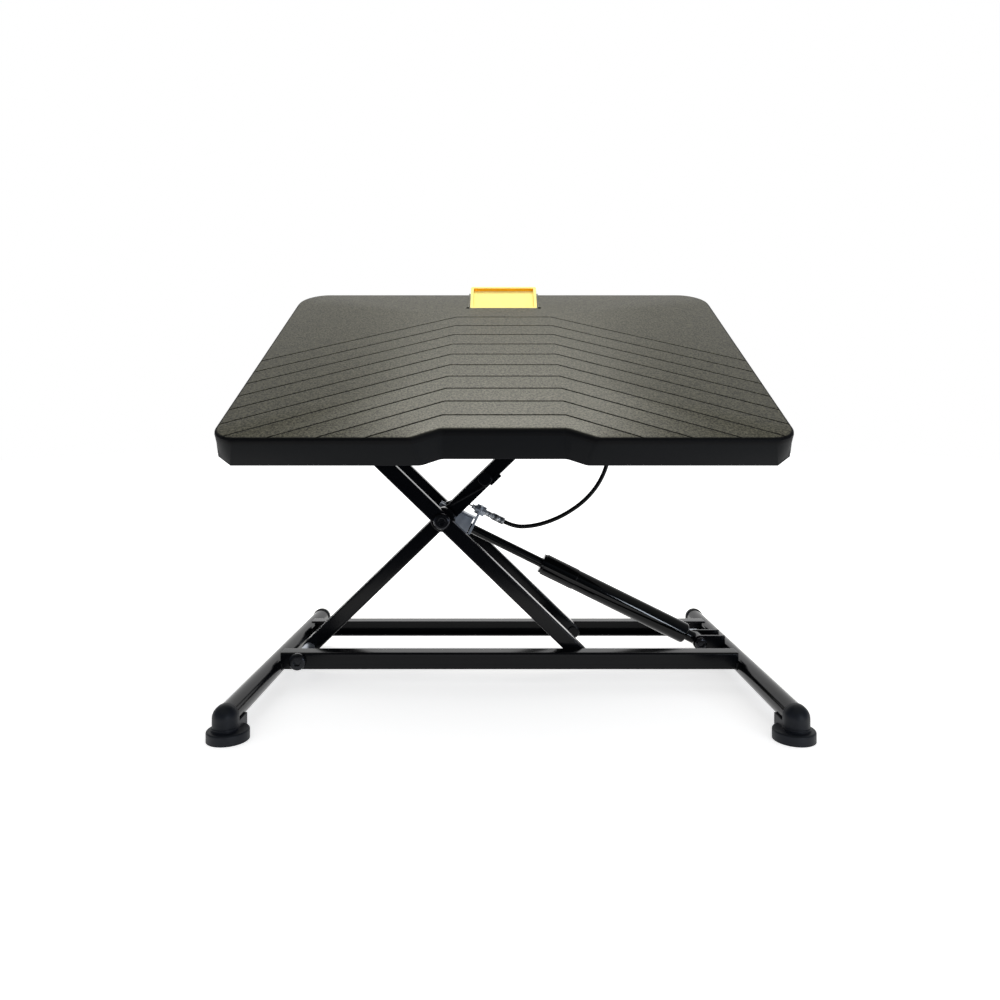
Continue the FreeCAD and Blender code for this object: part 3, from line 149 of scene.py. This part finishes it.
def surface(material, inputs):
    """Close a material with its shader and output."""
    shader = add(material, "ShaderNodeBsdfPrincipled", inputs)
    add(material, "ShaderNodeOutputMaterial", {"Surface": shader.outputs["BSDF"]})


# Extruded PVC, smooth and a little waxy: soft long highlights over a faint drawn texture
sheath_pvc, place = new_material("extruded_pvc")
drawn = noise(sheath_pvc, place, size=0.0015, detail=2.0)
surface(sheath_pvc, {"Base Color": linear("#050607"), "Specular IOR Level": 0.2,
                     "Roughness": ramp(sheath_pvc, drawn, low=0.24, high=0.34),
                     "Normal": bumps(sheath_pvc, drawn, strength=0.05, depth=0.0002)})

cable_diameter = 0.0046
clip_place = (0.113, 0.032, 0.306)
lower_route = [(-0.00536, 0.03, 0.15324), (0.00496, 0.03, 0.14816), (0.0205, 0.03, 0.1477),
               (0.0385, 0.03, 0.1514), (0.06, 0.03, 0.1604), (0.083, 0.03, 0.1766), (0.1, 0.03, 0.199),
               (0.109, 0.0305, 0.228), (0.113, 0.032, 0.266), clip_place]
upper_route = [clip_place, (0.113, 0.032, 0.318), (0.088, 0.033, 0.334), (0.056, 0.0315, 0.3395),
               (0.0268, 0.0328, 0.3416), (0.0118, 0.0397, 0.3455), (0.0025, 0.05219, 0.35244),
               (0.0025, 0.06617, 0.36022)]
route_order = 3
steps_along = 16
steps_around = 6


def sheath(name, route):
    """Sheath along a smooth NURBS line through the route's points."""
    curve = bpy.data.curves.new(name, "CURVE")
    curve.dimensions = "3D"
    curve.resolution_u = steps_along
    spline = curve.splines.new("NURBS")
    spline.points.add(len(route) - 1)
    for point, where in zip(spline.points, route):
        point.co = (*where, 1.0)
    spline.order_u = route_order
    spline.use_endpoint_u = True
    line = bpy.data.objects.new(name + "_line", curve)
    bpy.context.scene.collection.objects.link(line)
    followed = [tuple(v.co) for v in bpy.data.meshes.new_from_object(line).vertices]
    curve.bevel_depth = cable_diameter / 2
    curve.bevel_resolution = steps_around
    curve.use_fill_caps = True
    mesh = bpy.data.meshes.new_from_object(line)
    bpy.data.objects.remove(line)
    piece = bpy.data.objects.new(name, mesh)
    bpy.context.scene.collection.objects.link(piece)
    mesh.materials.clear()
    mesh.materials.append(sheath_pvc)
    mesh.polygons.foreach_set("use_smooth", [True] * len(mesh.polygons))
    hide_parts("release_cable")
    return piece


# The lower run hangs on the top frame's body; the upper run is fixed where it lies.
# With the tread flat, the upper run still cuts into the tread's underside.
lower_sheath = sheath("cable_sheath_lower", lower_route)
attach(lower_sheath, "top_frame")
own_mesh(lower_sheath)
upper_sheath = sheath("cable_sheath_upper", upper_route)
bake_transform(upper_sheath)


# Steel frame: tubes, channels, flat bar legs, bushes and plates, welded and then powder coated
# in one semi-gloss black. The coat is a little orange-peeled, and thick where it turns an edge.
frame_parts = ["side_tube_left", "side_tube_right", "base_beam_front", "base_beam_rear", "top_rail_front",
               "top_rail_rear", "gas_spring_tabs", "inner_leg_front", "inner_leg_rear", "outer_leg_front",
               "outer_leg_rear", "inner_leg_sleeve", "outer_leg_cross_tube", "crossing_bushes",
               "lower_roller_axles", "upper_roller_axles", "gusset_plate", "hinge_ears", "top_straps",
               "gas_spring_lower_eye"]
coat_edge_radius = 0.0012
coat_peel = 0.0014
coat_patch = 0.045
coat_sheen_spread = 0.03
smooth_within = math.radians(28)
weld_within = 0.000002


def powder_coat(name, peel_depth, coat_roughness):
    """Baked polyester powder, black: fine orange peel, and patches where it baked glossier."""
    material, place = new_material(name)
    peel = noise(material, place, size=coat_peel, detail=2.0, fineness=0.4)
    patches = noise(material, place, size=coat_patch, detail=3.0)
    relief = bumps(material, peel, strength=0.1, depth=peel_depth, over=eased(material, coat_edge_radius))
    sheen = ramp(material, patches, low=coat_roughness - coat_sheen_spread,
                 high=coat_roughness + coat_sheen_spread)
    surface(material, {"Base Color": two_tone(material, patches, "#06070A", "#0C0D10"), "Roughness": sheen,
                       "Specular IOR Level": 0.16, "Normal": relief})
    return material


def dress(names, material):
    """Give CAD nodes a material, with smooth shading over their curved faces."""
    for name in names:
        piece = nodes[name]
        piece.data.materials.clear()
        piece.data.materials.append(material)
        piece.data.polygons.foreach_set("use_smooth", [True] * len(piece.data.polygons))
        weld = piece.modifiers.new("weld", "WELD")
        weld.merge_threshold = weld_within
        split = piece.modifiers.new("split", "EDGE_SPLIT")
        split.split_angle = smooth_within


dress(frame_parts, powder_coat("powder_coat", peel_depth=0.0001, coat_roughness=0.17))


# Weld beads where the beams meet the side tubes: rows of small scales, under the same coat.
dress(["weld_beads"], powder_coat("powder_coat_over_weld", peel_depth=0.0012, coat_roughness=0.3))


# Foot caps: moulded rubber pushed over the tube ends, satin and slightly blue in the light.
# A fine spark-eroded mould texture keeps all highlights wide and soft.
rubber, place = new_material("moulded_rubber")
grain = noise(rubber, place, size=0.0007, detail=3.0)
smudges = noise(rubber, place, size=0.012, detail=2.0)
surface(rubber, {"Base Color": linear("#0C1119"), "Roughness": ramp(rubber, smudges, low=0.42, high=0.56),
                 "Specular IOR Level": 0.25,
                 "Normal": bumps(rubber, grain, strength=0.15, depth=0.0002,
                                 over=eased(rubber, radius=0.0008))})
dress(["foot_cap_front_left", "foot_cap_rear_left", "foot_cap_front_right", "foot_cap_rear_right"], rubber)


# Screws, pivot bolts and release lever: alloy steel with a black oxide finish, satin and dark.
black_oxide, place = new_material("black_oxide_steel")
grain = noise(black_oxide, place, size=0.002, detail=4.0)
surface(black_oxide, {"Base Color": linear("#2A2B2E"), "Metallic": 0.8,
                      "Roughness": ramp(black_oxide, grain, low=0.14, high=0.24),
                      "Normal": eased(black_oxide, radius=0.0008)})
dress(["eye_bolt", "lower_pivot_bolt", "upper_pivot_bolt", "crossing_bolts", "tread_screws", "hinge_pins",
       "release_lever"], black_oxide)


# Plated hardware: nuts, spacers, the release head, brackets, hinge leaves and crank.
# Bright zinc over steel: bluish, fairly sharp reflections broken by faint clouding.
zinc, place = new_material("zinc_plated_steel")
clouds = noise(zinc, place, size=0.006, detail=4.0)
surface(zinc, {"Base Color": two_tone(zinc, clouds, "#9AA3B0", "#C9CED6"), "Metallic": 0.75,
               "Roughness": ramp(zinc, clouds, low=0.26, high=0.44), "Normal": eased(zinc, radius=0.0004)})
dress(["base_lock_nuts", "upper_pivot_nut", "lower_pivot_spacers", "upper_pivot_spacers",
       "release_head", "release_pin", "cable_bracket", "jam_nuts", "hinge_leaves", "pedal_pin",
       "crank_bracket", "cable_crank"], zinc)


# Side plates of the pedal's notch: stamped steel, phosphated to a dull grey.
phosphate, place = new_material("phosphated_steel")
crystals = noise(phosphate, place, size=0.0006, detail=3.0)
surface(phosphate, {"Base Color": two_tone(phosphate, crystals, "#33342F", "#5A5B54"), "Metallic": 0.6,
                    "Roughness": 0.5})
dress(["pedal_side_plate_left", "pedal_side_plate_right"], phosphate)


# Rollers, washers and clip: moulded nylon, dark and slightly waxy.
nylon, place = new_material("moulded_nylon")
grain = noise(nylon, place, size=0.001, detail=2.0)
surface(nylon, {"Base Color": linear("#19191B"), "Roughness": ramp(nylon, grain, low=0.36, high=0.48),
                "Specular IOR Level": 0.35, "Normal": bumps(nylon, grain, strength=0.1, depth=0.0001)})
dress(["lower_rollers", "upper_rollers", "friction_washers", "cable_clip"], nylon)


# Gas spring: drawn steel cylinder and sleeve in smooth gloss black lacquer, which mirrors the
# studio in narrow streaks along its length.
lacquer, place = new_material("gloss_lacquer")
flow = noise(lacquer, place, size=0.01, detail=1.0)
surface(lacquer, {"Base Color": linear("#060707"), "Roughness": ramp(lacquer, flow, low=0.05, high=0.08),
                  "Specular IOR Level": 0.25,
                  "Normal": bumps(lacquer, flow, strength=0.02, depth=0.0004,
                                  over=eased(lacquer, radius=0.0005))})
dress(["gas_cylinder", "gas_cylinder_end_sleeve"], lacquer)


# Piston rod: ground, polished and salt-bath nitrided, which leaves it black and oily smooth.
nitrided, place = new_material("nitrided_rod")
grind = noise(nitrided, place, size=0.0012, detail=2.0)
surface(nitrided, {"Base Color": linear("#0A0B0C"), "Metallic": 0.2,
                   "Roughness": ramp(nitrided, grind, low=0.16, high=0.26), "Specular IOR Level": 0.35})
dress(["gas_spring_rod"], nitrided)


# Cable's adjuster and ferrule: nickel-plated brass, lying along the gas spring, with bands round
# them, their colour darker in each groove as painted shade. A band is two pi radians of a wave,
# and each radian's length is given here. That makes the bands 5.0 mm apart on the adjuster and
# 6.9 mm on the ferrule, coarser than a real screw thread or knurl.
gas_lean = math.radians(26.23)
thread_radian = 0.0008
knurl_radian = 0.0011
wave_radians = 20


def nickel_plate(name, radian, groove_depth, dark, light):
    """Nickel plate with bands that run round the gas spring's direction."""
    material, place = new_material(name)
    along = add(material, "ShaderNodeMapping", {"Vector": place, "Rotation": (0.0, -gas_lean, 0.0)})
    grooves = add(material, "ShaderNodeTexWave", {"Vector": along.outputs["Vector"],
                                                  "Scale": 1 / radian / wave_radians},
                  bands_direction="X").outputs["Fac"]
    relief = bumps(material, grooves, strength=0.7, depth=groove_depth)
    # The colour follows the bands, darker down in each groove: painted shade.
    surface(material, {"Base Color": two_tone(material, grooves, dark, light), "Metallic": 0.75,
                       "Roughness": 0.26, "Normal": relief})
    return material


dress(["cable_adjuster"], nickel_plate("nickel_thread", thread_radian, groove_depth=0.0002,
                                       dark="#8E9298", light="#D8DBDE"))
dress(["cable_ferrule"], nickel_plate("nickel_knurl", knurl_radian, groove_depth=0.0003,
                                      dark="#5A5D62", light="#C9CCD0"))


# Bare ends of the inner wire: 1.5 mm galvanised strand with a cast barrel nipple.
lay_radian = 0.0007

strand, place = new_material("stranded_wire")
lay = add(strand, "ShaderNodeTexWave", {"Vector": place, "Scale": 1 / lay_radian / wave_radians},
          bands_direction="DIAGONAL").outputs["Fac"]
surface(strand, {"Base Color": linear("#74777C"), "Metallic": 1.0, "Roughness": 0.3,
                 "Normal": bumps(strand, lay, strength=0.7, depth=0.0002)})
dress(["inner_wire_lower", "inner_wire_upper"], strand)


# Tread: one injection moulded ABS shell, charcoal, with a sparkling fine grain on its flat upper face.
# The upper face is coloured paler than the rest, partly by its grain and partly as painted light.
# The rounded border round it and the sides are coloured near black as painted shade.
tread_grain = 0.0018
tread_up = (0.0, -0.4863, 0.8738)
tread_top = 0.2956
grain_starts_below = 0.0005
grain_full_below = 0.0001
border_ends_below = 0.0052
border_fades = 0.0006

abs_shell, place = new_material("grained_abs")
grain = noise(abs_shell, place, size=tread_grain, detail=3.0, fineness=0.7)
speckle = ramp(abs_shell, grain, start=0.36, full=0.64)
height = reach(abs_shell, place, tread_up)
on_top = ramp(abs_shell, height, start=tread_top - grain_starts_below, full=tread_top - grain_full_below)
in_border = ramp(abs_shell, height, start=tread_top - border_ends_below - border_fades,
                 full=tread_top - border_ends_below)
# Rounded border and sides: near black, painted shade, with the border darkest.
painted_shade_sides = two_tone(abs_shell, in_border, "#06080B", "#010102")
# Upper face: the grain's speckle, and paler than the sides as painted light.
colour = two_tone(abs_shell, on_top, painted_shade_sides, two_tone(abs_shell, speckle, "#1C1B17", "#5A584B"))
relief = bumps(abs_shell, grain, strength=ramp(abs_shell, on_top, low=0.03, high=0.4), depth=0.0003,
               over=eased(abs_shell, radius=0.001, samples=8))
surface(abs_shell, {"Base Color": colour, "Roughness": ramp(abs_shell, on_top, low=0.64, high=0.36),
                    "Specular IOR Level": 0.17, "Normal": relief})
dress(["tread"], abs_shell)


# Pedal: yellow moulded polypropylene, satin. The dished face is plain, and the inner wall under
# the rear rim is coloured a deeper orange by the way it faces: painted shade, and painted light through the
# plastic.
wall_faces = (0.0, -0.87, -0.49)

yellow_pp, place = new_material("yellow_polypropylene")
grain = noise(yellow_pp, place, size=0.0012, detail=2.0)
turned = add(yellow_pp, "ShaderNodeTexCoord", {}).outputs["Normal"]
# Faces turned like the rear wall get deeper orange: painted shade and painted light through the plastic.
in_wall = ramp(yellow_pp, reach(yellow_pp, turned, wall_faces), start=0.75, full=0.95)
colour = two_tone(yellow_pp, in_wall, two_tone(yellow_pp, grain, "#FEE787", "#FFED93"), "#FFB41A")
surface(yellow_pp, {"Base Color": colour, "Roughness": ramp(yellow_pp, grain, low=0.5, high=0.6),
                    "Specular IOR Level": 0.12, "Subsurface Weight": 0.12,
                    "Subsurface Radius": (0.003, 0.0015, 0.0003), "Subsurface Scale": 1.0,
                    "Normal": bumps(yellow_pp, grain, strength=0.06, depth=0.0002)})
dress(["pedal"], yellow_pp)


# Studio: white paper under the footrest, and a white sweep behind it. The room on the camera's
# side is dim, which leaves the black faces black. A warm softbox hangs overhead, towards the
# back, and a narrow cool window stands in front on the right.
white = "#FFFFFF"
floor_half = 4.0
glow_starts = 0.3
glow_full = 0.9
near_glow = 0.62
paper_front = -0.46

studio_floor, place = new_material("studio_paper")
paper = add(studio_floor, "ShaderNodeBsdfDiffuse", {"Color": linear("#F2F2F2")}).outputs["BSDF"]
away = add(studio_floor, "ShaderNodeVectorMath", {0: place}, operation="LENGTH").outputs["Value"]
glowing = ramp(studio_floor, away, start=glow_starts, full=glow_full, low=near_glow)
glow = add(studio_floor, "ShaderNodeEmission", {"Color": linear(white), "Strength": glowing})
lit = add(studio_floor, "ShaderNodeAddShader", {0: paper, 1: glow.outputs["Emission"]}).outputs["Shader"]


def background_is_seen(material):
    """1 where a camera, glossy or transmission ray meets the background, else 0."""
    path = add(material, "ShaderNodeLightPath", {}).outputs
    direct = larger(material, path["Is Camera Ray"], path["Is Glossy Ray"])
    return larger(material, direct, path["Is Transmission Ray"])


mix = add(studio_floor, "ShaderNodeMixShader", {0: background_is_seen(studio_floor), 1: paper, 2: lit})
add(studio_floor, "ShaderNodeOutputMaterial", {"Surface": mix.outputs["Shader"]})
bpy.ops.object.select_all(action="DESELECT")
bpy.ops.mesh.primitive_plane_add(size=2 * floor_half)
bpy.ops.object.mode_set(mode="EDIT")
bpy.ops.transform.translate(value=(0.0, floor_half + paper_front, 0.0))
bpy.ops.object.mode_set(mode="OBJECT")
floor = bpy.context.object
floor.name = "studio_floor"
floor.data.materials.append(studio_floor)

# The room's light by direction. The camera sees it white, and it lights surfaces at one even
# level. In reflections it brightens from edge_of_dark on, to the sides, to the back and upwards.
ambient = 0.57
dim_room = 0.03
lit_side = 0.4
lit_ceiling = 0.6
edge_of_dark = 0.1
back_full = 0.8
ceiling_full = 0.9

world = bpy.data.worlds.new("studio_room")
world.use_nodes = True
world.node_tree.nodes.clear()
direction = add(world, "ShaderNodeTexCoord", {}).outputs["Generated"]
split = add(world, "ShaderNodeSeparateXYZ", {"Vector": direction}).outputs
sideways = add(world, "ShaderNodeMath", {0: split["X"]}, operation="ABSOLUTE").outputs["Value"]
side = ramp(world, sideways, start=edge_of_dark, low=dim_room, high=lit_side)
behind = ramp(world, split["Y"], start=edge_of_dark, full=back_full)
above = ramp(world, split["Z"], start=edge_of_dark, full=ceiling_full, high=lit_ceiling)
sweep = larger(world, larger(world, side, behind), above)
path = add(world, "ShaderNodeLightPath", {}).outputs
for_mirrors = larger(world, sweep, path["Is Camera Ray"])
strength = add(world, "ShaderNodeMix", {"Factor": background_is_seen(world), "A": ambient, "B": for_mirrors})
cast = two_tone(world, behind, two_tone(world, above, "#A9BCE2", "#FFF6C8"), white)
colour = two_tone(world, path["Is Glossy Ray"], white, cast)
backdrop = add(world, "ShaderNodeBackground", {"Color": colour, "Strength": strength.outputs["Result"]})
add(world, "ShaderNodeOutputWorld", {"Surface": backdrop.outputs["Background"]})
bpy.context.scene.world = world

overhead_place = (0.0, 0.3, 1.5)
overhead_lean = math.radians(-12)
overhead_size = (0.6, 0.6)
overhead_power = 12.0
warm_white = (1.0, 0.98, 0.88)
window_place = (0.78, -1.45, 0.25)
window_turn = math.radians(27)
window_size = (0.14, 0.4)
window_power = 4.5
cool_white = (0.8, 0.88, 1.0)


def softbox(name, where, turned, size, power, colour):
    """Rectangular lamp of the given size, turned about X and Z from straight down."""
    bpy.ops.object.light_add(type="AREA", location=where, rotation=turned)
    lamp = bpy.context.object
    lamp.name = name
    lamp.data.shape = "RECTANGLE"
    lamp.data.size, lamp.data.size_y = size
    lamp.data.energy = power
    lamp.data.color = colour


softbox("overhead_softbox", overhead_place, (overhead_lean, 0, 0), overhead_size, overhead_power, warm_white)
softbox("window", window_place, (level, 0, window_turn), window_size, window_power, cool_white)
